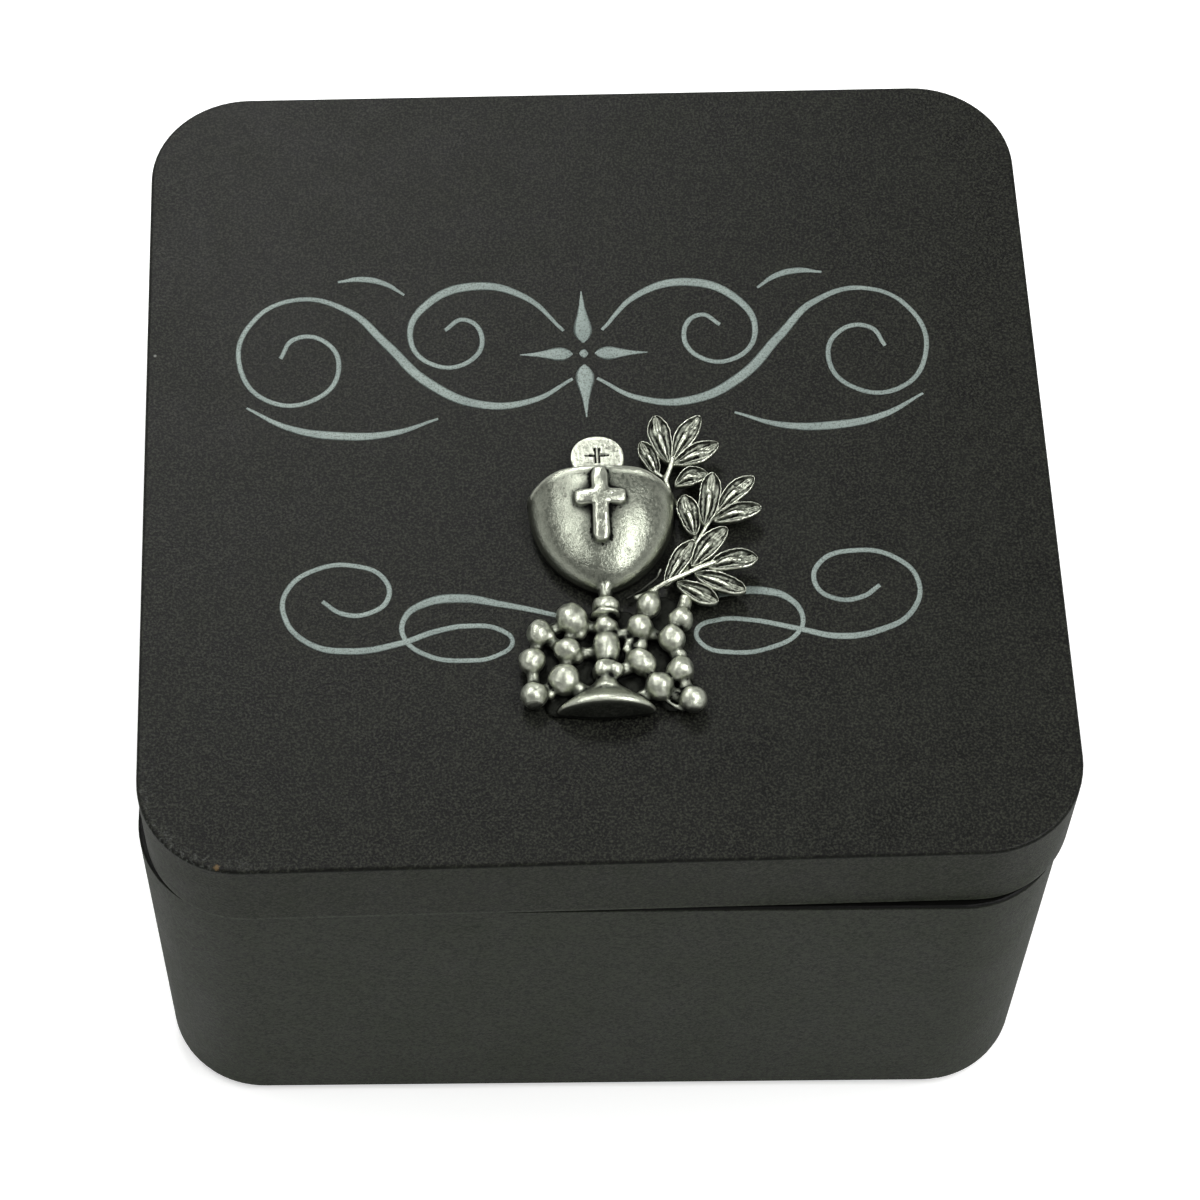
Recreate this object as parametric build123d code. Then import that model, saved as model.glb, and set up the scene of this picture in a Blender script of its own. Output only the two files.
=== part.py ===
"""Square keepsake box of painted wood with a loose lift-off lid and a cast pewter emblem.

The box is four mitred walls round a rebated bottom board. Thin liner strips stand inside the walls
and rise above the rim as a lip. The lid is four mitred rails under a top board, and drops over the lip
with room to turn a little. Felt lines the floor, the lid and the underside. The emblem is one casting
of a chalice with a host, a cross, strings of beads and a leafy spray, stuck to the top board.

Frame: millimetres, +Z up, -Y is the front, and the origin is the centre of the underside.
"""

from build123d import *
import math
import os

# Driving dimensions of the box and the lid
box_side = 101.6
corner_radius = 11.4
body_height = 50.6
lid_height = 12.0
lid_turn = 1.24

# Walls, bottom board and the felt that the box stands on
wall_thickness = 8.0
bottom_thickness = 4.0
rebate_depth = 3.5
board_clearance = 0.2
base_felt_thickness = 1.0
base_felt_inset = 2.0
rim_easing = 0.4
foot_easing = 0.6

# Liner strips and the lip that they make above the rim
liner_thickness = 3.0
lip_height = 4.0
lip_play = 1.3
lip_easing = 0.8

# Lid boards
lid_board_thickness = 4.0
lid_edge_radius = 0.4

# Felt on card, for the floor and for the lid
card_thickness = 1.2
felt_thickness = 1.0
lining_clearance = 0.3

# Adhesive spots under the emblem
adhesive_thickness = 0.4
bowl_spot_radius = 4.5
foot_spot_radius = 1.6

# The emblem's place on the lid: the middle of the chalice's foot, from the lid's centre
emblem_x = 0.1
emblem_y = -33.6

# Chalice: each profile point is a distance up the chalice and the half width there. A skirt is the
# height of the upright edge round a piece, and a drop is how far its axis lies below the skirt's top
bowl_profile = [(28.6, 8.1), (26.4, 8.1), (24.0, 7.8), (21.5, 7.2), (19.0, 6.0), (17.0, 4.4), (15.2, 1.8)]
bowl_skirt = 0.95
bowl_drop = 6.0
stem_profile = [
    (15.6, 0.9), (14.1, 0.9), (13.6, 1.4), (12.7, 1.4), (12.4, 1.0), (12.2, 1.6), (11.8, 1.6),
    (11.6, 0.9), (11.1, 1.3), (10.2, 1.3), (9.8, 0.9), (8.9, 1.5), (7.4, 1.5), (6.2, 0.9),
    (5.7, 1.4), (4.8, 1.4), (4.3, 1.0), (2.6, 1.0),
]
stem_skirt = 1.3
stem_drop = 0.0
foot_profile = [(3.9, 0.9), (3.2, 1.4), (2.2, 2.5), (1.3, 3.9), (0.5, 5.1)]
foot_rim_half_width = 5.4
foot_skirt = 0.6
foot_drop = 2.6

# Cross on the bowl and host above the rim
cross_length = 9.3
cross_arm_drop = 4.1
cross_bar_width = 1.75
cross_arm_span = 5.7
cross_relief = 0.75
cross_rounding = 0.5
host_radius = 2.95
host_rise = 2.85
host_base = 0.8
host_thickness = 1.7
host_mark_span = 2.4
host_mark_width = 0.4
host_mark_depth = 0.3

# Beads: place across and up from the foot, and radius. A link names the two beads that it joins, and
# a tie joins a bead to a place on the chalice or the spray
bead_height = 1.15
link_radius = 0.5
left_beads = {
    "a": (-3.8, 11.4, 1.5), "b": (-7.3, 9.7, 1.3), "c": (-4.4, 7.6, 1.3), "d": (-8.3, 6.4, 1.3),
    "e": (-4.9, 4.0, 1.55), "f": (-8.2, 2.2, 1.45),
}
left_links = ["ac", "ce", "bd", "df", "bc", "ef"]
left_ties = [("a", 0.0, 10.6), ("e", -2.0, 1.6)]
right_beads = {
    "a": (4.7, 12.9, 1.2), "b": (3.6, 10.2, 1.3), "c": (8.1, 11.1, 1.2), "d": (7.0, 8.7, 1.5),
    "e": (3.6, 5.9, 1.3), "f": (7.7, 4.9, 1.3), "g": (5.4, 2.9, 1.4), "h": (8.9, 1.2, 1.4),
}
right_links = ["ab", "bd", "cd", "be", "df", "eg", "fh", "gh"]
right_ties = [("a", 0.0, 13.3), ("e", 0.0, 5.2), ("g", 2.6, 1.4), ("a", 5.4, 14.9), ("c", 8.3, 15.6)]

# Spray: twigs as lines of points, and leaves as base, tip and width, all from the foot
twig_radius = 0.5
twig_height = 0.9
twig_bend_share = 0.45
twigs = [
    [(1.0, 14.0), (5.4, 14.9), (8.4, 16.3), (9.8, 19.0), (10.3, 22.0), (9.7, 25.4), (8.2, 28.4), (8.1, 31.6)],
    [(7.4, 15.7), (9.6, 16.8), (12.0, 17.8)],
    [(10.1, 20.4), (11.5, 22.6), (13.0, 25.0)],
    [(8.0, 28.7), (7.0, 29.4), (6.0, 30.2)],
]
leaf_thickness = 0.8
leaf_lift = 0.9
leaf_tilt = 7.0
leaf_rim = 0.28
leaf_dish_depth = 0.35
leaf_rib_length = 0.62
leaf_rib_width = 0.2
leaf_rib_rise = 0.15
leaves = [
    ((7.8, 31.1), (6.5, 37.1), 2.4), ((8.2, 31.5), (11.5, 36.8), 2.1), ((8.2, 30.9), (13.4, 33.1), 2.2),
    ((6.5, 29.8), (4.8, 34.2), 1.8), ((8.3, 28.3), (12.0, 29.4), 2.0), ((11.3, 22.7), (12.5, 29.2), 2.3),
    ((12.8, 24.6), (17.1, 28.7), 2.0), ((12.2, 23.6), (17.7, 24.8), 2.0), ((10.2, 21.8), (9.2, 26.9), 2.3),
    ((9.6, 17.6), (13.7, 22.2), 2.2), ((6.6, 15.4), (10.0, 20.9), 1.9), ((11.4, 17.4), (16.9, 18.3), 2.3),
    ((9.9, 16.8), (15.4, 14.5), 2.0), ((7.9, 15.8), (12.3, 13.4), 2.0),
]

# Heights and lengths worked out from the sizes above
underside_z = base_felt_thickness
floor_board_top = underside_z + bottom_thickness
seam_z = body_height
lid_top_z = body_height + lid_height
lid_board_bottom = lid_top_z - lid_board_thickness
emblem_back_z = lid_top_z + adhesive_thickness
inner_half = box_side / 2 - wall_thickness
rail_thickness = wall_thickness - lip_play
recess_half = box_side / 2 - rail_thickness
liner_inner_half = inner_half - liner_thickness
bowl_rim_y, bowl_half_width = bowl_profile[0]
bowl_bottom_y = bowl_profile[-1][0]
foot_top_y = foot_profile[0][0]
cut_margin = 5.0
level_tolerance = 1e-4


def square_prism(half, low, high):
    """A square block with sharp corners."""
    return extrude(Plane.XY.offset(low) * Rectangle(2 * half, 2 * half), high - low)


def rounded_prism(side, radius, low, high):
    """A square block with the box's rounded corners."""
    return extrude(Plane.XY.offset(low) * RectangleRounded(side, side, radius), high - low)


def edges_at(solid, height):
    """The edges that lie flat at one height."""
    return solid.edges().filter_by_position(Axis.Z, height - level_tolerance, height + level_tolerance)


def mitred_sides(ring, low, high):
    """Cuts a square ring at its diagonals into its front, right, back and left lengths."""
    reach = box_side
    wedge_face = make_face(Polyline((0, 0), (reach, -reach), (-reach, -reach), close=True))
    wedge = extrude(Plane.XY.offset(low - cut_margin) * wedge_face, high - low + 2 * cut_margin)
    front = ring & wedge
    return {
        name: Rot(0, 0, 90 * quarter) * front
        for quarter, name in enumerate(("front", "right", "back", "left"))
    }


def turned(solid):
    """The lid's pieces lie turned on the lip by the loose fit."""
    return Rot(0, 0, lid_turn) * solid


def write(name, solid):
    """Writes one sub-part."""
    os.makedirs("parts", exist_ok=True)
    solid.label = name
    export_step(solid, f"parts/{name}.step")


def build_walls():
    """Four mitred walls, rounded outside and rebated for the bottom board."""
    ring = rounded_prism(box_side, corner_radius, underside_z, seam_z)
    ring = fillet(edges_at(ring, seam_z), rim_easing)
    ring = fillet(edges_at(ring, underside_z), foot_easing)
    ring -= square_prism(inner_half, underside_z - cut_margin, seam_z + cut_margin)
    ring -= square_prism(inner_half + rebate_depth, underside_z - cut_margin, floor_board_top)
    for name, wall in mitred_sides(ring, underside_z, seam_z).items():
        write(f"{name}_wall", wall)


def build_bottom():
    """The bottom board in its rebate, and the felt under it."""
    board_half = inner_half + rebate_depth - board_clearance
    write("bottom_board", square_prism(board_half, underside_z, floor_board_top))
    felt_side = box_side - 2 * base_felt_inset
    felt_radius = corner_radius - base_felt_inset
    write("base_felt", rounded_prism(felt_side, felt_radius, 0, base_felt_thickness))


def build_liners():
    """Four thin strips inside the walls, standing above the rim as the lid's lip."""
    lip_top = seam_z + lip_height
    ring = square_prism(inner_half, floor_board_top, lip_top)
    ring = fillet(edges_at(ring, lip_top), lip_easing)
    ring -= square_prism(liner_inner_half, floor_board_top - cut_margin, lip_top + cut_margin)
    for name, liner in mitred_sides(ring, floor_board_top, lip_top).items():
        write(f"{name}_liner", liner)


def build_floor_lining():
    """The felt-covered card that lies on the bottom board."""
    half = liner_inner_half - lining_clearance
    card_top = floor_board_top + card_thickness
    write("floor_card", square_prism(half, floor_board_top, card_top))
    write("floor_felt", square_prism(half, card_top, card_top + felt_thickness))


def build_lid():
    """Four mitred rails and the top board over them, with felt on card inside."""
    rails = rounded_prism(box_side, corner_radius, seam_z, lid_board_bottom)
    rails = fillet(edges_at(rails, seam_z), rim_easing)
    rails -= square_prism(recess_half, seam_z - cut_margin, lid_board_bottom + cut_margin)
    for name, rail in mitred_sides(rails, seam_z, lid_board_bottom).items():
        write(f"lid_{name}_rail", turned(rail))

    board = rounded_prism(box_side, corner_radius, lid_board_bottom, lid_top_z)
    board = fillet(edges_at(board, lid_top_z), lid_edge_radius)
    write("lid_top_board", turned(board))

    half = recess_half - lining_clearance
    card_bottom = lid_board_bottom - card_thickness
    write("lid_card", turned(square_prism(half, card_bottom, lid_board_bottom)))
    write("lid_felt", turned(square_prism(half, card_bottom - felt_thickness, card_bottom)))


def half_round(profile, skirt, drop, smooth, extra=0.0):
    """A flat-backed turning: an upright edge with a round crown on it, grown by an extra height."""
    points = [(math.hypot(half_width, drop) + extra, y) for y, half_width in profile]
    outline = Spline(*points) if smooth else Polyline(*points)
    closing = Polyline(points[-1], (0, points[-1][1]), (0, points[0][1]), points[0])
    turning = Pos(0, 0, skirt - drop) * revolve(make_face(outline + closing), Axis.Y, 360)
    crown = split(turning, bisect_by=Plane.XY.offset(skirt), keep=Keep.TOP)
    return crown + extrude(crown.faces().sort_by(Axis.Z)[0], skirt, dir=(0, 0, -1))


def chalice_bowl():
    """The bowl with the cross standing out of it."""
    bowl = half_round(bowl_profile, bowl_skirt, bowl_drop, True)
    proud = half_round(bowl_profile, bowl_skirt, bowl_drop, True, cross_relief)
    upright = Pos(0, bowl_rim_y - cross_length / 2) * RectangleRounded(
        cross_bar_width, cross_length, cross_rounding
    )
    arms = Pos(0, bowl_rim_y - cross_arm_drop) * RectangleRounded(
        cross_arm_span, cross_bar_width, cross_rounding
    )
    cross = extrude(upright + arms, bowl_half_width + cut_margin) & proud
    return bowl, cross


def chalice_host():
    """The round host above the rim, with a plain cross sunk in its face."""
    host_y = bowl_rim_y + host_rise
    face_z = host_base + host_thickness
    host = extrude(Plane.XY.offset(host_base) * Pos(0, host_y) * Circle(host_radius), host_thickness)
    mark = Rectangle(host_mark_span, host_mark_width) + Rectangle(host_mark_width, host_mark_span)
    sunk = extrude(Plane.XY.offset(face_z - host_mark_depth) * Pos(0, host_y) * mark, host_mark_depth)
    return host - sunk


def chalice_stem():
    """The turned stem with its knops."""
    return half_round(stem_profile, stem_skirt, stem_drop, False)


def chalice_foot():
    """The flared foot and the rim round its end."""
    rim_y, rim_start = foot_profile[-1]
    rim_profile = [(rim_y, rim_start), (rim_y / 2, foot_rim_half_width), (0, foot_rim_half_width)]
    flare = half_round(foot_profile, foot_skirt, foot_drop, True)
    rim = half_round(rim_profile, foot_skirt, foot_drop, False)
    return flare, rim


def rod(start, end, radius):
    """A round rod between two points at bead height."""
    line = Line((*start, bead_height), (*end, bead_height))
    return sweep(Plane(origin=line @ 0, z_dir=line % 0) * Circle(radius), line)


def bead_strings(beads, links, ties):
    """Round beads, the short links between them and the ties to the chalice or the spray."""
    pieces = [Pos(x, y, bead_height) * Sphere(radius) for x, y, radius in beads.values()]
    pieces += [rod(beads[first][:2], beads[second][:2], link_radius) for first, second in links]
    pieces += [rod(beads[bead][:2], (x, y), link_radius) for bead, x, y in ties]
    return pieces


def twig(points):
    """A thin round twig along straight runs joined by large arcs."""
    radii = []
    for before, here, after in zip(points, points[1:], points[2:]):
        run_in = (Vector(*here) - Vector(*before)).length
        run_out = (Vector(*after) - Vector(*here)).length
        turn = (Vector(*here) - Vector(*before)).get_angle(Vector(*after) - Vector(*here))
        radii.append(twig_bend_share * min(run_in, run_out) / math.tan(math.radians(turn) / 2))
    path = FilletPolyline(*[(x, y, twig_height) for x, y in points], radius=radii)
    return sweep(Plane(origin=path @ 0, z_dir=path % 0) * Circle(twig_radius), path)


def vesica(length, width):
    """A pointed leaf outline of two arcs, with its base at the origin and its tip along X."""
    upper = ThreePointArc((0, 0), (length / 2, width / 2), (length, 0))
    lower = ThreePointArc((length, 0), (length / 2, -width / 2), (0, 0))
    return make_face(upper + lower)


def leaf(base, tip, width):
    """One leaf: a raised edge round a shallow dish, with a rib along its middle."""
    direction = Vector(*tip) - Vector(*base)
    length = direction.length
    blade = extrude(vesica(length, width), leaf_thickness)
    dish_length = length * (1 - 2 * leaf_rim / width)
    dish = extrude(vesica(dish_length, width - 2 * leaf_rim), leaf_dish_depth)
    blade -= Pos((length - dish_length) / 2, 0, leaf_thickness - leaf_dish_depth) * dish
    rib_length = length * leaf_rib_length
    rib = extrude(vesica(rib_length, length * leaf_rib_width / 2), leaf_thickness + leaf_rib_rise)
    blade += Pos((length - rib_length) / 2) * rib
    heading = math.degrees(math.atan2(direction.Y, direction.X))
    return Pos(base[0], base[1], leaf_lift) * Rot(0, 0, heading) * Rot(0, -leaf_tilt, 0) * blade


def build_emblem():
    """The whole casting as one solid, flat at the back, and the adhesive spots under it."""
    casting, *pieces = [*chalice_bowl(), chalice_host(), chalice_stem(), *chalice_foot()]
    pieces += bead_strings(left_beads, left_links, left_ties)
    pieces += bead_strings(right_beads, right_links, right_ties)
    pieces += [twig(points) for points in twigs]
    pieces += [leaf(*entry) for entry in leaves]
    for piece in pieces:
        casting = casting.fuse(piece)
    casting = split(casting, bisect_by=Plane.XY, keep=Keep.TOP)
    place = Pos(emblem_x, emblem_y, emblem_back_z)
    write("chalice_emblem", turned(place * casting))

    bowl_spot = Pos(0, (bowl_rim_y + bowl_bottom_y) / 2) * Circle(bowl_spot_radius)
    foot_spot = Pos(0, foot_top_y / 2) * Circle(foot_spot_radius)
    spots = [extrude(spot, adhesive_thickness) for spot in (bowl_spot, foot_spot)]
    spot_place = Pos(emblem_x, emblem_y, lid_top_z)
    write("emblem_adhesive", turned(spot_place * Compound(children=spots)))


build_walls()
build_bottom()
build_liners()
build_floor_lining()
build_lid()
build_emblem()
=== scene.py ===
"""A small keepsake box of black painted wood with a loose lid, a cast pewter emblem and silver ink."""

import math

import bmesh
import bpy
import numpy as np
from mathutils import Matrix, Vector, noise


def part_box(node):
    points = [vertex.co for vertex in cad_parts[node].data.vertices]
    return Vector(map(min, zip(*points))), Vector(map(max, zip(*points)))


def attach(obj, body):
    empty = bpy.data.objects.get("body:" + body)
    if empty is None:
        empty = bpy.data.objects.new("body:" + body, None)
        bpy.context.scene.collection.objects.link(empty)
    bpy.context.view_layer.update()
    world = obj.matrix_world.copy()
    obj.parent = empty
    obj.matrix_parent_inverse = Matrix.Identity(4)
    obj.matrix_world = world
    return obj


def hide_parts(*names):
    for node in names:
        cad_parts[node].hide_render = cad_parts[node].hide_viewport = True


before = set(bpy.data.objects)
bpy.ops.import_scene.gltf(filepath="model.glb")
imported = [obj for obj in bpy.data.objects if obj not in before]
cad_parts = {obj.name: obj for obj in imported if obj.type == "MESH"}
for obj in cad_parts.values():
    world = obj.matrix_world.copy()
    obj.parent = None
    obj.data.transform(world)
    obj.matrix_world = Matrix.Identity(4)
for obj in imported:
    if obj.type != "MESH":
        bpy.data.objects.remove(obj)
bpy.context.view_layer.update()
MM = 0.001


# Painted wood box
# Four mitred walls round a bottom board, with thin liner strips inside. The boards are fine-grained
# wood under sprayed black lacquer, matt and a little grainy, which closes the mitres.

def linear(hex_colour):
    """An sRGB hex colour as linear red, green, blue and alpha."""
    channels = [int(hex_colour[i : i + 2], 16) / 255 for i in (1, 3, 5)]
    return [c / 12.92 if c <= 0.04045 else ((c + 0.055) / 1.055) ** 2.4 for c in channels] + [1.0]


def add(owner, kind, inputs=None, **settings):
    """Adds one shader node to a material or world. An input is a value, or a node or socket linked to it."""
    made = owner.node_tree.nodes.new("ShaderNode" + kind)
    for name, value in settings.items():
        setattr(made, name, value)
    for name, value in (inputs or {}).items():
        if isinstance(value, bpy.types.Node):
            value = next(socket for socket in value.outputs if not socket.is_unavailable)
        if isinstance(value, bpy.types.NodeSocket):
            owner.node_tree.links.new(value, made.inputs[name])
        else:
            made.inputs[name].default_value = value
    return made


def new_material(name):
    """An empty node material."""
    material = bpy.data.materials.new(name)
    material.use_nodes = True
    material.node_tree.nodes.clear()
    return material


lid_turn = math.radians(1.24)
box_half = 50.8 * MM
corner_radius = 11.4 * MM
# Real grit is finer than the render can show, so it is drawn as coarse as it needs to be
grit_size = 0.26 * MM
speck_size = 0.26 * MM
side_grain_size = 0.5 * MM
mottle_size = 6 * MM
pore_length = 2.2 * MM
pore_height = 0.22 * MM
pore_zone_size = 14 * MM
dust_spacing = 13 * MM
groove_core, groove_reach = 0.08 * MM, 0.3 * MM
pore_relief, dent_relief, groove_relief = -1.5, -4.0, -5.0
box_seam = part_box("front_wall")[1][2]


def black_lacquer(name, turn, dark, light, lid_top=None):
    """Sprayed matt lacquer: sandy on flat tops, and finely grained and dented on the sides, with a few pores;
    the dents and pores are painted darker, as shade.

    Dark and light are the two tones of the sides.
    """
    paint = new_material(name)
    texture = add(paint, "TexCoord")
    place = add(paint, "Mapping", {0: texture.outputs["Object"], 2: (0, 0, -turn)})
    axes = add(paint, "SeparateXYZ", {0: place})
    normal = add(paint, "SeparateXYZ", {0: add(paint, "NewGeometry").outputs["Normal"]})
    facing_up = add(paint, "Math", {0: normal.outputs[2]}, operation="ABSOLUTE")
    top_share = add(paint, "MapRange", {0: facing_up, 1: 0.5, 2: 0.9})

    grit = add(paint, "TexNoise", {0: place, 2: 1 / grit_size, 3: 3.0, 4: 0.65})
    specks = add(paint, "TexNoise", {0: place, 2: 1 / speck_size, 3: 2.0, 4: 0.6})
    mottle = add(paint, "TexNoise", {0: place, 2: 1 / mottle_size, 3: 5.0, 4: 0.65})

    run_along = add(paint, "Math", {0: axes.outputs[0], 1: axes.outputs[1]}, operation="ADD")
    along = add(paint, "Math", {0: run_along, 1: pore_length}, operation="DIVIDE")
    across = add(paint, "Math", {0: axes.outputs[2], 1: pore_height}, operation="DIVIDE")
    board = add(paint, "CombineXYZ", {0: along, 1: across, 2: 0.0})
    pore_noise = add(paint, "TexNoise", {0: board, 2: 1.0, 3: 1.0})
    pore_zone = add(paint, "TexNoise", {0: place, 2: 1 / pore_zone_size, 3: 1.0})
    pore_cut = add(paint, "MapRange", {0: pore_zone, 1: 0.35, 2: 0.7, 3: 0.78, 4: 0.66})
    pore_depth = add(paint, "Math", {0: pore_noise, 1: pore_cut}, operation="SUBTRACT")
    pores = add(paint, "MapRange", {0: pore_depth, 1: 0.0, 2: 0.05})
    side_share = add(paint, "Math", {0: 1.0, 1: top_share}, operation="SUBTRACT")
    side_pores = add(paint, "Math", {0: pores, 1: side_share}, operation="MULTIPLY")

    patch = add(paint, "MapRange", {0: mottle, 1: 0.35, 2: 0.65})
    side_grain = add(paint, "TexNoise", {0: place, 2: 1 / side_grain_size, 3: 2.0, 4: 0.6})
    side_grain = add(paint, "MapRange", {0: side_grain, 1: 0.36, 2: 0.64})
    side_tone = add(paint, "Mix", {0: 0.3, 2: side_grain, 3: patch})
    side_colour = add(paint, "Mix", {0: side_tone, 6: linear(dark), 7: linear(light)}, data_type="RGBA")
    top_colour = add(paint, "Mix", {0: patch, 6: linear("#0a0a09"), 7: linear("#121310")}, data_type="RGBA")
    colour = add(paint, "Mix", {0: top_share, 6: side_colour, 7: top_colour}, data_type="RGBA")
    speck = add(paint, "MapRange", {0: specks, 1: 0.44, 2: 0.72, 4: 0.7})
    colour = add(paint, "Mix", {0: speck, 6: colour, 7: linear("#3b3d34")}, data_type="RGBA")
    # Spots on a Voronoi pattern: pale dust on the tops, and on the sides small dents painted near black as
    # shade
    dust_cells = add(paint, "TexVoronoi", {0: place, 2: 1 / dust_spacing})
    dust_and_dents = add(paint, "MapRange", {0: dust_cells, 1: 0.008, 2: 0.018, 3: 0.7, 4: 0.0})
    dust_and_dent_shade_colours = {0: top_share, 6: linear("#050604"), 7: linear("#8f918a")}
    dust_and_dent_shade_colour = add(paint, "Mix", dust_and_dent_shade_colours, data_type="RGBA")
    colour = add(paint, "Mix", {0: dust_and_dents, 6: colour, 7: dust_and_dent_shade_colour}, data_type="RGBA")
    # Painted shade: the pores on the sides are coloured darker
    colour = add(paint, "Mix", {0: side_pores, 6: colour, 7: linear("#0b0c0a")}, data_type="RGBA")

    size = add(paint, "VectorMath", {0: place}, operation="ABSOLUTE")
    inner = box_half - corner_radius
    past = add(paint, "VectorMath", {0: size, 1: (inner, inner, 1.0)}, operation="SUBTRACT")
    past = add(paint, "VectorMath", {0: past, 1: (0, 0, 0)}, operation="MAXIMUM")
    reach = add(paint, "VectorMath", {0: past}, operation="LENGTH").outputs["Value"]
    from_edge = add(paint, "Math", {0: corner_radius, 1: reach}, operation="SUBTRACT")

    # The groove where the lid meets the box is painted black as shade, on the walls' sides and along their
    # rim
    from_seam = add(paint, "Math", {0: axes.outputs[2], 1: box_seam}, operation="SUBTRACT")
    off_seam = add(paint, "Math", {0: from_seam}, operation="ABSOLUTE")
    seam_groove_and_shade = add(paint, "MapRange", {0: off_seam, 1: groove_core, 2: groove_reach, 3: 0.95, 4: 0.0})
    outside = add(paint, "MapRange", {0: from_edge, 1: 1 * MM, 2: 2 * MM, 3: 1.0, 4: 0.0})
    seam_groove_and_shade = add(paint, "Math", {0: seam_groove_and_shade, 1: outside}, operation="MULTIPLY")
    side_groove = add(paint, "Math", {0: seam_groove_and_shade, 1: side_share}, operation="MULTIPLY")
    dents = add(paint, "Math", {0: dust_and_dents, 1: side_share}, operation="MULTIPLY")
    # Painted shade: the seam's groove is coloured near black
    colour = add(paint, "Mix", {0: seam_groove_and_shade, 6: colour, 7: linear("#040403")}, data_type="RGBA")
    if lid_top:
        colour = wear_lid(paint, place, axes, from_seam, from_edge, colour, lid_top)

    relief = add(paint, "Math", {0: side_pores, 1: pore_relief, 2: grit}, operation="MULTIPLY_ADD")
    relief = add(paint, "Math", {0: dents, 1: dent_relief, 2: relief}, operation="MULTIPLY_ADD")
    relief = add(paint, "Math", {0: side_groove, 1: groove_relief, 2: relief}, operation="MULTIPLY_ADD")
    bump = add(paint, "Bump", {"Strength": 0.9, "Distance": 0.05 * MM, "Height": relief})
    sheen = add(paint, "MapRange", {0: mottle, 1: 0.3, 2: 0.7, 3: -0.05, 4: 0.05})
    dullness = add(paint, "MapRange", {0: top_share, 3: 0.66, 4: 0.36})
    roughness = add(paint, "Math", {0: sheen, 1: dullness}, operation="ADD")
    shader = add(paint, "BsdfPrincipled", {
        "Base Color": colour, "Roughness": roughness, "Specular IOR Level": 0.11, "Normal": bump,
    })
    add(paint, "OutputMaterial", {0: shader})
    return paint


arris_rag_size = 0.6 * MM
scuff_size = 0.4 * MM
scuffed_corner = (-46 * MM, -46 * MM)
chip_place = (-42.1 * MM, -50.1 * MM)


def wear_lid(paint, place, axes, from_seam, from_edge, colour, lid_top):
    """Wear on the lid: a ragged dark arris, scuffs and a chip at one corner, and a pale lower arris, partly
    rubbed and partly a painted highlight.
    """
    ragged = add(paint, "TexNoise", {0: place, 2: 1 / arris_rag_size, 3: 4.0, 4: 0.7})
    wander = add(paint, "MapRange", {0: ragged, 1: 0.3, 2: 0.7, 3: -0.28 * MM, 4: 0.35 * MM})
    edge_gap = add(paint, "Math", {0: from_edge, 1: wander}, operation="ADD")
    near_edge = add(paint, "MapRange", {0: edge_gap, 1: 0.05 * MM, 2: 0.38 * MM, 3: 0.9, 4: 0.0})
    from_top = add(paint, "Math", {0: lid_top, 1: axes.outputs[2]}, operation="SUBTRACT")
    near_top = add(paint, "MapRange", {0: from_top, 1: 0.25 * MM, 2: 0.55 * MM, 3: 1.0, 4: 0.0})
    line = add(paint, "Math", {0: near_edge, 1: near_top}, operation="MULTIPLY")
    colour = add(paint, "Mix", {0: line, 6: colour, 7: linear("#0a0b09")}, data_type="RGBA")

    at_corner = (*scuffed_corner, lid_top)
    to_corner = add(paint, "VectorMath", {0: place, 1: at_corner}, operation="DISTANCE").outputs["Value"]
    corner = add(paint, "MapRange", {0: to_corner, 1: 3 * MM, 2: 15 * MM, 3: 0.5, 4: 0.0})
    scuff_noise = add(paint, "TexNoise", {0: place, 2: 1 / scuff_size, 3: 3.0, 4: 0.7})
    scuff = add(paint, "MapRange", {0: scuff_noise, 1: 0.52, 2: 0.7})
    scuff_zone = add(paint, "MapRange", {0: edge_gap, 1: 0.4 * MM, 2: 2.2 * MM, 3: 1.0, 4: 0.0})
    scuff = add(paint, "Math", {0: scuff, 1: scuff_zone}, operation="MULTIPLY")
    scuff = add(paint, "Math", {0: scuff, 1: corner}, operation="MULTIPLY")
    scuff = add(paint, "Math", {0: scuff, 1: near_top}, operation="MULTIPLY")
    colour = add(paint, "Mix", {0: scuff, 6: colour, 7: linear("#686b66")}, data_type="RGBA")

    at_chip = (*chip_place, lid_top)
    to_chip = add(paint, "VectorMath", {0: place, 1: at_chip}, operation="DISTANCE").outputs["Value"]
    chip_wander = add(paint, "MapRange", {0: scuff_noise, 1: 0.3, 2: 0.7, 3: -0.2 * MM, 4: 0.2 * MM})
    chip_edge = add(paint, "Math", {0: to_chip, 1: chip_wander}, operation="ADD")
    chip = add(paint, "MapRange", {0: chip_edge, 1: 0.12 * MM, 2: 0.36 * MM, 3: 1.0, 4: 0.0})
    colour = add(paint, "Mix", {0: chip, 6: colour, 7: linear("#5f4e35")}, data_type="RGBA")

    # A pale line along the lower arris: partly rubbed paint, partly a painted highlight where the arris
    # catches the light
    rise = add(paint, "MapRange", {0: from_seam, 1: 0.28 * MM, 2: 0.42 * MM})
    fall = add(paint, "MapRange", {0: from_seam, 1: 0.5 * MM, 2: 0.8 * MM, 3: 1.0, 4: 0.0})
    rubbed = add(paint, "Math", {0: rise, 1: fall}, operation="MULTIPLY")
    rub_and_highlight_share = add(paint, "MapRange", {0: ragged, 1: 0.38, 2: 0.62, 4: 0.4})
    rubbed = add(paint, "Math", {0: rubbed, 1: rub_and_highlight_share}, operation="MULTIPLY")
    return add(paint, "Mix", {0: rubbed, 6: colour, 7: linear("#565a50")}, data_type="RGBA")


def dress(names, material):
    """Gives CAD pieces their finish."""
    for name in names:
        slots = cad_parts[name].data.materials
        slots.clear()
        slots.append(material)


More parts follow.
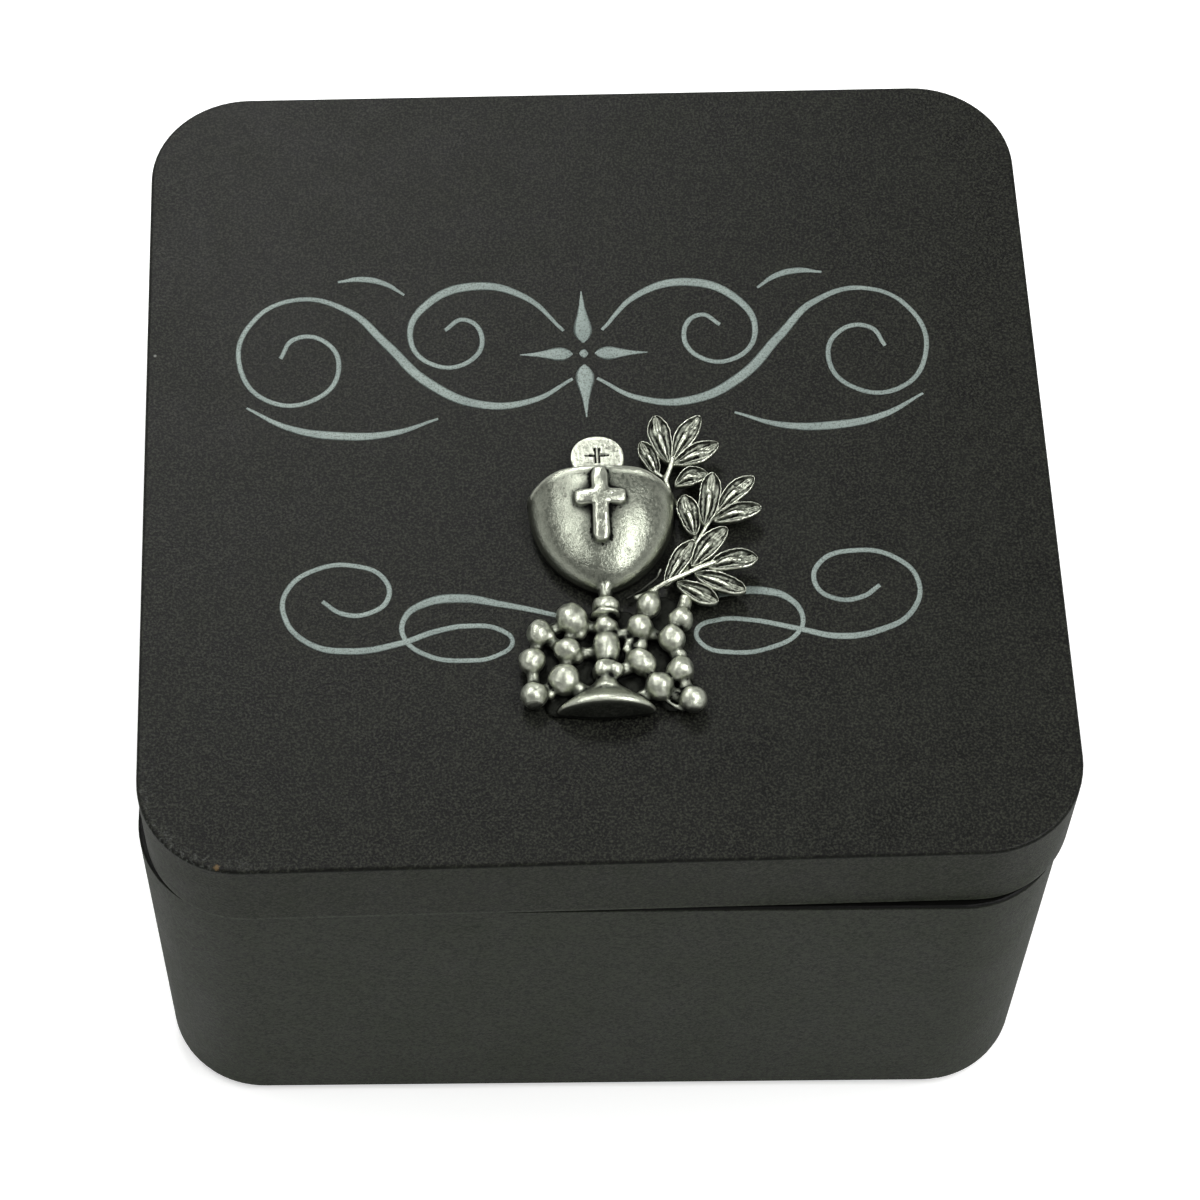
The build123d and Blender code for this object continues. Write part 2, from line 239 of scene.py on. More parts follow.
sides = ("front", "right", "back", "left")
box_lacquer = black_lacquer("matt black lacquer on wood", 0.0, "#0f110b", "#2c3127")
dress([f"{side}_{part}" for side in sides for part in ("wall", "liner")] + ["bottom_board"], box_lacquer)


# Lid
# Four mitred rails under a top board, in the same lacquer. The lid lies a little turned on its lip. Its
# top is sprayed more heavily, with a ragged edge line, a few pale scuffs and one chip to the bare wood.

lid_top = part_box("lid_top_board")[1][2]
lid_lacquer = black_lacquer("matt black lacquer on the lid", lid_turn, "#090a06", "#21261b", lid_top)
dress([f"lid_{side}_rail" for side in sides] + ["lid_top_board"], lid_lacquer)


# Card backings
# Thin greyboard squares that carry the felt on the floor and in the lid. Greyboard is pressed from
# waste paper, so it is dull and flecked with fibres.

def greyboard():
    """Pressed grey paper board with fine flecks."""
    board = new_material("greyboard")
    place = add(board, "TexCoord").outputs["Object"]
    fleck = add(board, "TexNoise", {0: place, 2: 1 / (0.6 * MM), 3: 4.0, 4: 0.7})
    cloud = add(board, "TexNoise", {0: place, 2: 1 / (6 * MM), 3: 2.0})
    shade = add(board, "MapRange", {0: cloud, 1: 0.3, 2: 0.7})
    colour = add(board, "Mix", {0: shade, 6: linear("#8b8880"), 7: linear("#9a978e")}, data_type="RGBA")
    dark_fleck = add(board, "MapRange", {0: fleck, 1: 0.6, 2: 0.72, 4: 0.6})
    colour = add(board, "Mix", {0: dark_fleck, 6: colour, 7: linear("#5f5c56")}, data_type="RGBA")
    bump = add(board, "Bump", {"Strength": 0.5, "Distance": 0.04 * MM, "Height": fleck})
    shader = add(board, "BsdfPrincipled", {"Base Color": colour, "Roughness": 0.9, "Normal": bump})
    add(board, "OutputMaterial", {0: shader})
    return board


dress(["floor_card", "lid_card"], greyboard())


# Felt pads
# Three squares of thin wool felt: on the floor, in the lid, and under the box. Felt is matted fibre, so it
# is dull with a soft sheen, its face is a little uneven, and its cut edges are soft.

felt_steps = 40
felt_edge = 0.3 * MM
felt_ripple = 9 * MM
felt_ripple_height = 0.07 * MM


def wool_felt():
    """Matted black wool with short pale fibres."""
    felt = new_material("black wool felt")
    place = add(felt, "TexCoord").outputs["Object"]
    fibre = add(felt, "TexNoise", {0: place, 2: 1 / (0.35 * MM), 3: 5.0, 4: 0.75})
    clump = add(felt, "TexNoise", {0: place, 2: 1 / (3 * MM), 3: 3.0, 4: 0.6})
    shade = add(felt, "MapRange", {0: clump, 1: 0.3, 2: 0.7})
    colour = add(felt, "Mix", {0: shade, 6: linear("#121213"), 7: linear("#1c1c1e")}, data_type="RGBA")
    pale_fibre = add(felt, "MapRange", {0: fibre, 1: 0.56, 2: 0.75, 4: 0.6})
    colour = add(felt, "Mix", {0: pale_fibre, 6: colour, 7: linear("#3c3c3f")}, data_type="RGBA")
    bump = add(felt, "Bump", {"Strength": 1.0, "Distance": 0.12 * MM, "Height": fibre})
    shader = add(felt, "BsdfPrincipled", {
        "Base Color": colour, "Roughness": 0.95, "Specular IOR Level": 0.2, "Sheen Weight": 0.25,
        "Sheen Roughness": 0.5, "Normal": bump,
    })
    add(felt, "OutputMaterial", {0: shader})
    return felt


def make_piece(name, bm, material, body):
    """A smooth-shaded finished piece from a bmesh in metres."""
    mesh = bpy.data.meshes.new(name)
    bm.to_mesh(mesh)
    bm.free()
    mesh.materials.append(material)
    mesh.polygons.foreach_set("use_smooth", [True] * len(mesh.polygons))
    piece = bpy.data.objects.new(name, mesh)
    bpy.context.scene.collection.objects.link(piece)
    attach(piece, body)
    return piece


def felt_pad(node, radius, turn, body, held):
    """One cut square of felt in the place of its plain solid."""
    low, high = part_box(node)
    width = (high[0] - low[0]) / (math.cos(turn) + math.sin(turn))
    thickness = high[2] - low[2]
    bm = bmesh.new()
    bmesh.ops.create_grid(bm, x_segments=felt_steps, y_segments=felt_steps, size=width / 2)
    inner = width / 2 - radius
    for vert in bm.verts:
        past = Vector((max(abs(vert.co.x) - inner, 0), max(abs(vert.co.y) - inner, 0)))
        if radius and past.length > 0:
            past *= max(past) / past.length
            vert.co.x = math.copysign(min(abs(vert.co.x), inner) + past.x, vert.co.x)
            vert.co.y = math.copysign(min(abs(vert.co.y), inner) + past.y, vert.co.y)
    grown = bmesh.ops.extrude_face_region(bm, geom=bm.faces[:])
    raised = [item for item in grown["geom"] if isinstance(item, bmesh.types.BMVert)]
    bmesh.ops.translate(bm, verts=raised, vec=(0, 0, thickness))
    bmesh.ops.recalc_face_normals(bm, faces=bm.faces)
    rim = [edge for edge in bm.edges if edge.calc_face_angle(0) > 1.0]
    bmesh.ops.bevel(bm, geom=rim, offset=felt_edge, segments=3, profile=0.5, material=-1, affect="EDGES")
    if held == "laid":
        for vert in bm.verts:
            wave = noise.noise((vert.co.x / felt_ripple, vert.co.y / felt_ripple, 0))
            vert.co.z += felt_ripple_height * (wave - 1) / 2 * vert.co.z / thickness
    centre = Vector(((low[0] + high[0]) / 2, (low[1] + high[1]) / 2, low[2]))
    bmesh.ops.transform(bm, verts=bm.verts, matrix=Matrix.Translation(centre) @ Matrix.Rotation(turn, 4, "Z"))
    piece = make_piece(f"{node}_pad", bm, felt_material, body)
    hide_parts(node)


felt_material = wool_felt()
felt_pad("floor_felt", 0.0, 0.0, "box", "laid")
felt_pad("lid_felt", 0.0, lid_turn, "lid", "stretched")
felt_pad("base_felt", corner_radius - 2 * MM, 0.0, "box", "stretched")


# Silver ink ornament
# Scrolls printed on the lid in silver-grey ink, as calligraphers' flourishes are. The ink lies as a thin
# film with a slightly ragged edge, dull silver, and peppered where the sandy lacquer shows through.

ink_dome = 0.08
ink_ragged = 0.035
ink_ragged_scale = 6.0
# The vector noise differs from run to run unless it is seeded
noise.seed_set(7)


def silver_ink():
    """Dull metallic ink over grainy lacquer."""
    ink = new_material("silver printing ink")
    place = add(ink, "TexCoord").outputs["Object"]
    pepper = add(ink, "TexNoise", {0: place, 2: 1 / (0.2 * MM), 3: 2.0, 4: 0.6})
    cloud = add(ink, "TexNoise", {0: place, 2: 1 / (4 * MM), 3: 2.0})
    shade = add(ink, "MapRange", {0: cloud, 1: 0.3, 2: 0.7})
    colour = add(ink, "Mix", {0: shade, 6: linear("#76827d"), 7: linear("#86928c")}, data_type="RGBA")
    gap = add(ink, "MapRange", {0: pepper, 1: 0.48, 2: 0.72, 4: 0.85})
    colour = add(ink, "Mix", {0: gap, 6: colour, 7: linear("#3d4440")}, data_type="RGBA")
    bump = add(ink, "Bump", {"Strength": 0.6, "Distance": 0.03 * MM, "Height": pepper})
    shader = add(ink, "BsdfPrincipled", {
        "Base Color": colour, "Metallic": 0.25, "Roughness": 0.5, "Normal": bump,
    })
    add(ink, "OutputMaterial", {0: shader})
    return ink


def pen_stroke(points):
    """One pen stroke as a mesh in millimetres: each point is x, y and the stroke's width there."""
    curve = bpy.data.curves.new("stroke", "CURVE")
    curve.dimensions = "3D"
    curve.bevel_depth = 0.5
    curve.bevel_resolution = 2
    curve.resolution_u = 14
    curve.use_fill_caps = True
    spline = curve.splines.new("BEZIER")
    spline.radius_interpolation = "CARDINAL"
    spline.bezier_points.add(len(points) - 1)
    for bezier_point, (x, y, width) in zip(spline.bezier_points, points):
        bezier_point.co = (x, y, 0)
        bezier_point.radius = width
        bezier_point.handle_left_type = bezier_point.handle_right_type = "AUTO"
    holder = bpy.data.objects.new("stroke", curve)
    bpy.context.scene.collection.objects.link(holder)
    bpy.context.view_layer.update()
    mesh = bpy.data.meshes.new_from_object(holder.evaluated_get(bpy.context.evaluated_depsgraph_get()))
    bpy.data.objects.remove(holder)
    return mesh


def on_lid(x, y, z):
    """Takes millimetres from a point of the lid to metres in the frame."""
    moved = Matrix.Translation(Vector((x, y, z)) * MM)
    return Matrix.Rotation(lid_turn, 4, "Z") @ moved @ Matrix.Scale(MM, 4)


def print_strokes(name, strokes):
    """Strokes laid on the lid as one thin film of ink, low and domed."""
    bm = bmesh.new()
    for points in strokes:
        mesh = pen_stroke(points)
        bm.from_mesh(mesh)
        bpy.data.meshes.remove(mesh)
    for vert in bm.verts:
        ragged = noise.noise_vector(vert.co * ink_ragged_scale) * ink_ragged
        vert.co.x += ragged.x
        vert.co.y += ragged.y
        vert.co.z *= ink_dome
    bmesh.ops.transform(bm, verts=bm.verts, matrix=on_lid(0, 0, lid_top / MM))
    make_piece(name, bm, ink_material, "lid")


ink_material = silver_ink()
left_scroll = [
    (-30.9, -18.2, 0.5), (-28.7, -19.8, 0.6), (-25.8, -19.8, 0.6), (-23.7, -18.0, 0.62), (-24.2, -15.4, 0.6),
    (-27.2, -13.8, 0.6), (-31.5, -14.1, 0.6), (-34.7, -16.6, 0.6), (-35.1, -19.8, 0.62), (-32.4, -23.4, 0.7),
    (-27.7, -24.5, 0.85), (-22.2, -23.6, 0.75), (-18.6, -22.3, 0.7), (-14.9, -21.7, 0.65),
    (-11.5, -22.3, 0.6), (-10.2, -23.8, 0.55), (-12.0, -25.5, 0.55), (-15.4, -26.0, 0.6),
    (-19.4, -25.3, 0.6), (-22.0, -23.0, 0.6), (-21.9, -20.5, 0.7), (-19.8, -18.8, 0.95),
    (-16.1, -18.2, 1.15), (-11.2, -19.1, 0.8), (-5.2, -20.7, 0.6), (-3.0, -21.5, 0.5),
]
right_scroll = [
    (30.5, -17.8, 0.5), (28.5, -19.2, 0.6), (25.6, -19.4, 0.6), (23.4, -17.5, 0.6), (24.1, -14.7, 0.6),
    (28.0, -13.3, 0.62), (32.4, -14.3, 0.62), (34.8, -17.4, 0.6), (33.8, -21.2, 0.62), (30.0, -23.5, 0.75),
    (25.6, -24.1, 0.8), (21.0, -23.0, 0.68), (15.9, -21.8, 0.62), (12.4, -21.7, 0.6), (10.0, -22.9, 0.58),
    (10.5, -24.7, 0.58), (13.8, -25.8, 0.6), (18.0, -25.3, 0.58), (21.1, -23.5, 0.55), (21.7, -21.5, 0.6),
    (20.2, -19.1, 0.8), (17.7, -18.2, 1.0), (15.0, -18.1, 1.0), (12.6, -18.5, 0.8),
]
print_strokes("lower_scrolls", [left_scroll, right_scroll])

# The upper ornament is one half drawn from the middle outwards and mirrored.
ornament_x, ornament_y = -1.0, 13.6
ornament_half = [
    [
        (1.4, -3.4, 0.4), (6.0, -6.2, 0.75), (12.0, -6.6, 1.1), (18.0, -3.4, 1.25), (22.5, 1.8, 1.1),
        (27.0, 6.6, 0.8), (33.0, 8.2, 0.6), (38.0, 5.0, 0.6), (39.2, -0.8, 0.6), (35.8, -5.6, 0.6),
        (30.6, -5.4, 0.6), (28.0, -1.6, 0.6), (29.6, 2.4, 0.6), (33.0, 2.8, 0.6), (34.6, 0.2, 0.5),
    ],
    [
        (2.2, 3.2, 0.4), (6.6, 8.0, 0.8), (12.2, 9.6, 1.15), (17.6, 7.4, 1.0), (19.8, 2.8, 0.7),
        (17.4, -1.0, 0.6), (13.2, -0.8, 0.6), (11.6, 2.6, 0.6), (13.6, 5.0, 0.6), (15.8, 3.6, 0.5),
    ],
    [(16.8, -8.4, 0.3), (22.0, -10.2, 0.8), (28.0, -10.4, 1.1), (33.6, -9.2, 0.8), (38.4, -6.4, 0.3)],
    [(20.4, 8.6, 0.3), (22.6, 10.2, 0.7), (25.2, 10.9, 0.8), (28.0, 10.6, 0.3)],
]
drop = [(1.5, 0.3), (1.9, 1.1), (2.6, 1.9), (3.5, 2.1), (4.6, 1.6), (6.0, 0.9), (7.4, 0.45), (8.6, 0.15)]
ornament_middle = [
    [(0, out, width) for out, width in drop],
    [(0, -out, width) for out, width in drop],
    [(0.85 * out, 0, 0.85 * width) for out, width in drop],
    [(-0.85 * out, 0, 0.85 * width) for out, width in drop],
    [(-0.5, 0, 0.2), (-0.3, 0, 0.9), (0, 0, 1.2), (0.3, 0, 0.9), (0.5, 0, 0.2)],
]


def ornament_strokes():
    """The ornament's strokes in place, on both sides of its middle."""
    both = [[(side * x, y, w) for x, y, w in stroke] for stroke in ornament_half for side in (1, -1)]
    return [[(ornament_x + x, ornament_y + y, w) for x, y, w in stroke] for stroke in both + ornament_middle]


print_strokes("upper_ornament", ornament_strokes())


# Cast pewter emblem
# One flat-backed casting: a chalice with a host and a cross, strings of beads, and a leafy spray. It is
# cast pewter, blackened and then rubbed, so raised parts are bright and the hollows stay dark.

emblem_x, emblem_y = 0.1, -33.6
emblem_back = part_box("chalice_emblem")[0][2] / MM
casting = bmesh.new()


def lay(bm, shape=None):
    """Adds one closed form to the casting, shaped by a function if given, with a flat back."""
    for vert in bm.verts:
        if shape:
            vert.co = shape(vert.co)
        vert.co.z = max(vert.co.z, 0.0)
    bmesh.ops.recalc_face_normals(bm, faces=bm.faces)
    if bm.calc_volume(signed=True) < 0:
        bmesh.ops.reverse_faces(bm, faces=bm.faces)
    mesh = bpy.data.meshes.new("form")
    bm.to_mesh(mesh)
    bm.free()
    casting.from_mesh(mesh)
    bpy.data.meshes.remove(mesh)


def lay_turning(profile, skirt, crown, shape=None):
    """Adds a flat-backed turning along the chalice: a flattened round on an upright edge of a given height.

    The profile lists a distance up the chalice and the half width there, from top to bottom.
    """
    top, bottom = profile[0][0], profile[-1][0]
    points = [(0, top)] + [(half_width, y) for y, half_width in profile] + [(0, bottom)]
    bm = bmesh.new()
    verts = [bm.verts.new((x, y, 0)) for x, y in points]
    edges = [bm.edges.new(pair) for pair in zip(verts, verts[1:])]
    bmesh.ops.spin(
        bm, geom=verts + edges, cent=(0, 0, 0), axis=(0, 1, 0), angle=2 * math.pi, steps=96, use_merge=True
    )
    bmesh.ops.remove_doubles(bm, verts=bm.verts, dist=1e-5)
    for vert in bm.verts:
        vert.co.z = vert.co.z * crown + skirt if vert.co.z > -1e-4 else 0.0
    lay(bm, shape)


# The bowl is a flattened round with a lip that droops at its ears, on an upright edge. It is hand-modelled,
# so its face is a little uneven. The cross stands out of it with rounded ends.
bowl_rim_y, bowl_length, bowl_half_width = 28.85, 14.0, 8.1
bowl_skirt, bowl_crown = 1.0, 0.52
ear_start, ear_droop = 3.5, 2.0
bowl_uneven, bowl_uneven_scale = 0.09, 0.45
cross_relief, cross_top, cross_bottom, cross_arm_y = 0.8, 28.2, 19.3, 24.6
cross_x, cross_width, cross_arm_reach = -0.25, 1.8, 2.85
cross_uneven, cross_uneven_scale = 0.1, 1.1
bar_flare, bar_end_rounding, bar_bow, bar_crown = 0.16, 0.6, 0.06, 0.32


def bowl_reach(y):
    """Half the bowl's width at a distance up the chalice."""
    share = min(max((bowl_rim_y - y) / bowl_length, 0.0), 1.0)
    return bowl_half_width * (1 - share**3.1) ** 0.7


def bowl_height(x, y):
    """The height of the bowl's face."""
    reach = bowl_reach(y)
    return bowl_skirt + bowl_crown * math.sqrt(max(reach**2 - x**2, 0))


def bowl_shape(place):
    """Droops the rim's ears and makes the face uneven."""
    out = max(abs(place.x) - ear_start, 0) / (bowl_half_width - ear_start)
    upper = min(max((place.y - 18) / (bowl_rim_y - 18), 0), 1)
    wave = noise.noise(Vector((place.x, place.y, 0)) * bowl_uneven_scale)
    lift = bowl_uneven * wave if place.z > bowl_skirt else 0
    return Vector((place.x, place.y - ear_droop * out**2 * upper**2, place.z + lift))


lip = [(bowl_rim_y, 7.7), (bowl_rim_y - 0.06, 8.05), (bowl_rim_y - 0.3, 8.27), (bowl_rim_y - 0.75, 8.22)]
bowl_steps = [bowl_rim_y - 1.1 - (bowl_length - 1.2) * (1 - (1 - n / 26) ** 1.6) for n in range(27)]
lay_turning(lip + [(y, bowl_reach(y)) for y in bowl_steps], bowl_skirt, bowl_crown, bowl_shape)


def lay_cross_bar(centre, reach, half_width):
    """One bar of the cross on the bowl, a little wider at its rounded ends."""
    bm = bmesh.new()
    bmesh.ops.create_cube(bm, size=2.0)
    bmesh.ops.subdivide_edges(bm, edges=bm.edges, cuts=14, use_grid_fill=True)
    long_y = reach[1] > reach[0]

    def shape(place):
        along, across = (place.y, place.x) if long_y else (place.x, place.y)
        across *= half_width * (1 + bar_flare * along**4) * math.sqrt(1 - bar_end_rounding * along**14)
        along *= max(reach) * (1 - bar_bow * (across / half_width) ** 2)
        x, y = (across, along) if long_y else (along, across)
        x, y = centre[0] + x, centre[1] + y
        face = bowl_height(x, min(y, bowl_rim_y))
        edge = 1 - bar_crown * (across / half_width) ** 4
        wave = cross_uneven * noise.noise(Vector((x, y, 0)) * cross_uneven_scale)
        return Vector((x, y, face + cross_relief * edge + wave if place.z > 0 else face - 1.0))

    lay(bm, shape)


upright = ((cross_top + cross_bottom) / 2, (cross_top - cross_bottom) / 2)
lay_cross_bar((cross_x, upright[0]), (0, upright[1]), cross_width / 2)
lay_cross_bar((cross_x, cross_arm_y), (cross_arm_reach, 0), cross_width / 2)

# The host stands behind the rim, and its plain cross is sunk as double lines.
host_x, host_y, host_height, host_radius, host_lean = -0.25, 31.45, 2.55, 2.95, math.radians(-8)
host_thickness, host_mark_depth, host_mark_rise = 1.5, 0.22, 0.25
host_upright_reach, host_upright_gap, host_line_half = 1.1, 0.21, 0.12
host_arm_reach, host_arm_half = 1.45, 0.18


def close_back(bm, drop):
    """Closes a fine open face with a plain back. Drop gives each edge point's height on the back."""
    rim = bmesh.ops.extrude_edge_only(bm, edges=[edge for edge in bm.edges if edge.is_boundary])
    for item in rim["geom"]:
        if isinstance(item, bmesh.types.BMVert):
            item.co.z = drop(item.co)
    bmesh.ops.edgeloop_fill(bm, edges=[edge for edge in bm.edges if edge.is_boundary])


def lay_host():
    """The host as a round plate with a fine face, sunk along the lines of its cross."""
    bm = bmesh.new()
    bmesh.ops.create_grid(bm, x_segments=70, y_segments=70, size=1)
    for vert in bm.verts:
        x, y = vert.co.x, vert.co.y
        vert.co.x = host_radius * x * math.sqrt(1 - y * y / 2)
        vert.co.y = host_radius * y * math.sqrt(1 - x * x / 2)
        up = vert.co.y - host_mark_rise
        out = abs(vert.co.x)
        upright_line = abs(out - host_upright_gap) < host_line_half and abs(up) < host_upright_reach
        point = host_arm_half * (1 - (out / host_arm_reach) ** 5)
        arm_line = abs(up) < point and out > host_upright_gap
        vert.co.z = -host_mark_depth if upright_line or arm_line else 0.0
    close_back(bm, lambda place: -host_thickness)
    lean = Matrix.Translation((host_x, host_y, host_height)) @ Matrix.Rotation(host_lean, 4, "X")
    bmesh.ops.transform(bm, verts=bm.verts, matrix=lean)
    lay(bm)


# The stem is turned with a collar, a thin flange and knops, and spreads to a rimmed foot. Its foot
# leans a little to the left, and the foot's end bulges towards the front.
stem_skirt, foot_skirt, foot_crown = 1.2, 0.4, 0.6
stem_lean, stem_top = 0.03, 14.5
foot_bulge, foot_half_width, foot_length = 0.5, 5.35, 2.5


def lean_left(place):
    """Leans the stem as it goes down."""
    return Vector((place.x - stem_lean * max(stem_top - place.y, 0), place.y, place.z))


def foot_shape(place):
    """Bulges the foot's end forwards along the lid."""
    low = 1 - min(place.z / (foot_skirt + foot_crown * foot_half_width), 1)
    bulge = foot_bulge * max(1 - (place.x / foot_half_width) ** 2, 0) * max(1 - place.y / foot_length, 0)
    return lean_left(Vector((place.x, place.y - bulge * low, place.z)))


stem = [
    (15.6, 1.0), (14.6, 0.75), (14.1, 0.7), (13.8, 0.9), (13.6, 1.35), (13.2, 1.5), (12.6, 1.48),
    (12.25, 1.15), (12.1, 1.58), (11.75, 1.58), (11.6, 0.95), (11.25, 0.95), (11.0, 1.25), (10.5, 1.45),
    (10.0, 1.35), (9.65, 0.95), (9.4, 1.0), (9.1, 1.25), (8.5, 1.46), (7.8, 1.5), (7.0, 1.42), (6.4, 1.18),
    (6.05, 0.95), (5.75, 1.35), (5.1, 1.58), (4.5, 1.4), (4.15, 1.05), (3.7, 1.15), (2.6, 1.6),
]
lay_turning(stem, stem_skirt, 1.0, lean_left)
foot = [(4.2, 1.0), (3.7, 1.35), (3.0, 2.1), (2.3, 3.1), (1.6, 4.1), (1.0, 4.85), (0.6, 5.1)]
lay_turning(foot, foot_skirt + 0.25, foot_crown, foot_shape)
foot_rim = [(0.8, 5.0), (0.75, 5.25), (0.55, 5.4), (0.3, 5.35), (0.22, 5.1), (0.15, 4.9), (0.12, 1.0)]
lay_turning(foot_rim, foot_skirt, foot_crown, foot_shape)


def lay_ball(x, y, radius, height, stretch=(1, 1, 1), turn=0.0):
    """A bead or a small blob of the casting."""
    bm = bmesh.new()
    bmesh.ops.create_uvsphere(bm, u_segments=32, v_segments=20, radius=radius)
    heading = Matrix.Rotation(turn, 4, "Z") @ Matrix.Diagonal((*stretch, 1))
    bmesh.ops.transform(bm, verts=bm.verts, matrix=Matrix.Translation((x, y, height)) @ heading)
    lay(bm)


def lay_rod(start, end, radius):
    """A short round rod between two points in space."""
    first, second = Vector(start), Vector(end)
    bm = bmesh.new()
    bmesh.ops.create_cone(
        bm, cap_ends=True, segments=16, radius1=radius, radius2=radius, depth=(second - first).length
    )
    heading = (second - first).to_track_quat("Z", "Y").to_matrix().to_4x4()
    bmesh.ops.transform(bm, verts=bm.verts, matrix=Matrix.Translation((first + second) / 2) @ heading)
    lay(bm)


# The beads are cast in strings, each a little out of round, and joined by short thick necks. Each bead is
# its place, radius, stretch and the turn of that stretch in degrees.
bead_height, bead_swell, neck_radius, neck_height = 1.25, 1.17, 0.7, 0.85
left_beads = {
    "a": (-3.8, 11.4, 1.5, 1.12, -50), "b": (-7.4, 9.8, 1.2, 1.1, 80), "c": (-4.4, 7.6, 1.24, 1.08, -20),
    "d": (-8.3, 6.4, 1.28, 1.0, 0), "e": (-4.9, 4.0, 1.5, 1.06, -60), "f": (-8.2, 2.2, 1.26, 1.0, 0),
}
right_beads = {
    "a": (4.7, 13.0, 1.12, 1.15, 70), "b": (3.6, 10.2, 1.28, 1.0, 0), "c": (8.1, 11.1, 1.16, 1.06, 30),
    "d": (7.0, 8.7, 1.32, 1.03, 90), "e": (3.6, 5.9, 1.24, 1.2, -45), "f": (7.7, 4.9, 1.25, 1.06, 20),
    "g": (5.4, 2.9, 1.35, 1.06, -30), "h": (8.9, 1.2, 1.3, 1.0, 0),
}
left_links = ["ac", "ce", "bd", "df", "bc", "ef"]
right_links = ["ab", "bd", "cd", "df", "eg", "fh", "gh", "be"]
for beads, links in ((left_beads, left_links), (right_beads, right_links)):
    for x, y, radius, stretch, turn in beads.values():
        lay_ball(x, y, radius * bead_swell, bead_height, (stretch, 1, 1), math.radians(turn))
    for start, end in links:
        lay_rod((*beads[start][:2], neck_height), (*beads[end][:2], neck_height), neck_radius)

necks = [
    ((-3.8, 11.4), (-1.0, 10.4)), ((-4.4, 7.6), (-1.4, 7.4)), ((-4.9, 4.0), (-2.4, 2.6)),
    ((4.7, 13.0), (5.4, 15.0)), ((3.6, 10.2), (1.0, 9.4)), ((3.6, 5.9), (1.2, 5.2)),
    ((5.4, 2.9), (3.2, 1.8)), ((8.1, 11.1), (8.9, 14.2)), ((-7.4, 9.8), (-3.8, 11.4)),
]
for start, end in necks:
    lay_rod((*start, neck_height), (*end, neck_height), neck_radius)

# Lumps where the metal ran between the beads, and two lobes low on the stem.
lumps = [
    (-6.45, 9.35, 0.75, 1.3), (-0.8, 4.95, 0.95, 1.9), (0.75, 4.7, 0.85, 1.9), (-2.55, 10.3, 0.6, 1.2),
    (-2.9, 9.8, 0.75, 1.0), (-5.8, 8.3, 0.55, 1.0), (-3.4, 6.9, 0.8, 1.1), (-3.4, 2.9, 0.85, 1.1),
    (-6.4, 2.5, 0.6, 0.9), (5.1, 13.9, 0.85, 1.1), (4.0, 12.0, 0.7, 0.9), (4.9, 9.5, 0.7, 0.9),
    (8.4, 12.5, 0.7, 1.0), (7.8, 6.8, 0.75, 1.0), (8.2, 3.2, 0.75, 0.9), (7.1, 2.2, 0.7, 0.8),
    (4.6, 4.4, 0.7, 0.9), (3.3, 8.0, 0.6, 0.9),
]
for x, y, radius, height in lumps:
    lay_ball(x, y, radius, height)

# Thin discs of flash fill the gaps of the strings low down and take the low parts' painted shade, standing
# for the shade in those gaps. Each is its place and radius.
gap_shade_web_height = 0.35
gap_shade_webs = [
    (-2.7, 8.8, 1.9), (-2.8, 5.6, 2.1), (-6.3, 7.6, 2.1), (-6.5, 4.6, 1.9), (-5.5, 1.5, 1.5),
    (6.4, 13.2, 1.6), (5.8, 11.3, 1.8), (5.3, 7.1, 2.1), (6.2, 4.6, 1.6), (2.6, 3.5, 2.0),
    (6.8, 1.7, 1.3), (2.0, 8.2, 1.7), (1.9, 11.6, 1.5), (-1.9, 11.6, 1.3),
]
for x, y, radius in gap_shade_webs:
    lay_ball(x, y, radius, 0.0, (1, 1, gap_shade_web_height / radius))

# A thin wavy strip of metal lies between the stem and the right-hand beads, and a bare wire beside the last.
wave_radius, flash_radius = 0.5, 0.2
waves = [(2.0, 9.4), (2.3, 8.6), (2.1, 7.9), (2.5, 7.2), (2.3, 6.5), (2.7, 5.7)]
for start, end in zip(waves, waves[1:]):
    lay_rod((*start, 0.9), (*end, 0.9), wave_radius)
    lay_ball(*start, wave_radius, 1.05, (1.2, 0.5, 1), math.radians(30))
lay_rod((6.2, 1.3, 0.9), (7.9, 0.0, 0.8), flash_radius)

# A thin flash line runs along the bowl's lower right, where the mould's halves met.
flash = [(2.2, 14.3, 0.35), (4.0, 15.4, 0.4), (5.8, 16.9, 0.45), (6.3, 17.9, 0.8)]
for start, end in zip(flash, flash[1:]):
    lay_rod(start, end, flash_radius)

twigs = [
    (0.3, [(3.2, 14.2, 0.7), (5.3, 14.8, 1.5), (6.9, 15.6, 1.9), (8.8, 16.4, 2.0), (10.6, 17.3, 2.0),
           (12.2, 17.9, 1.9)]),
    (0.32, [(8.4, 16.3, 1.2), (9.8, 19.0, 0.7), (10.3, 22.0, 0.7), (9.4, 25.0, 0.6), (7.8, 27.0, 0.8),
            (7.3, 28.9, 1.3), (7.9, 30.4, 1.6), (8.2, 31.5, 1.7)]),
    (0.24, [(10.1, 20.4, 1.1), (11.5, 22.6, 1.6), (13.0, 25.0, 1.7)]),
    (0.26, [(7.4, 29.0, 1.1), (6.9, 29.6, 1.0), (6.2, 30.3, 1.0)]),
]
for radius, points in twigs:
    for start, end in zip(points, points[1:]):
        lay_rod(start, end, radius)
        lay_ball(end[0], end[1], radius, end[2])

# All forms so far fuse into one casting. Its low round parts are a little uneven, but not the foot.
voxel = 0.164
softening = 3
uneven, uneven_scale, even_from = 0.16, 0.8, 15.0
even_foot_x, even_foot_y = 5.8, 3.4
rough, rough_scale = 0.03, 2.4
bubble_verts = 100


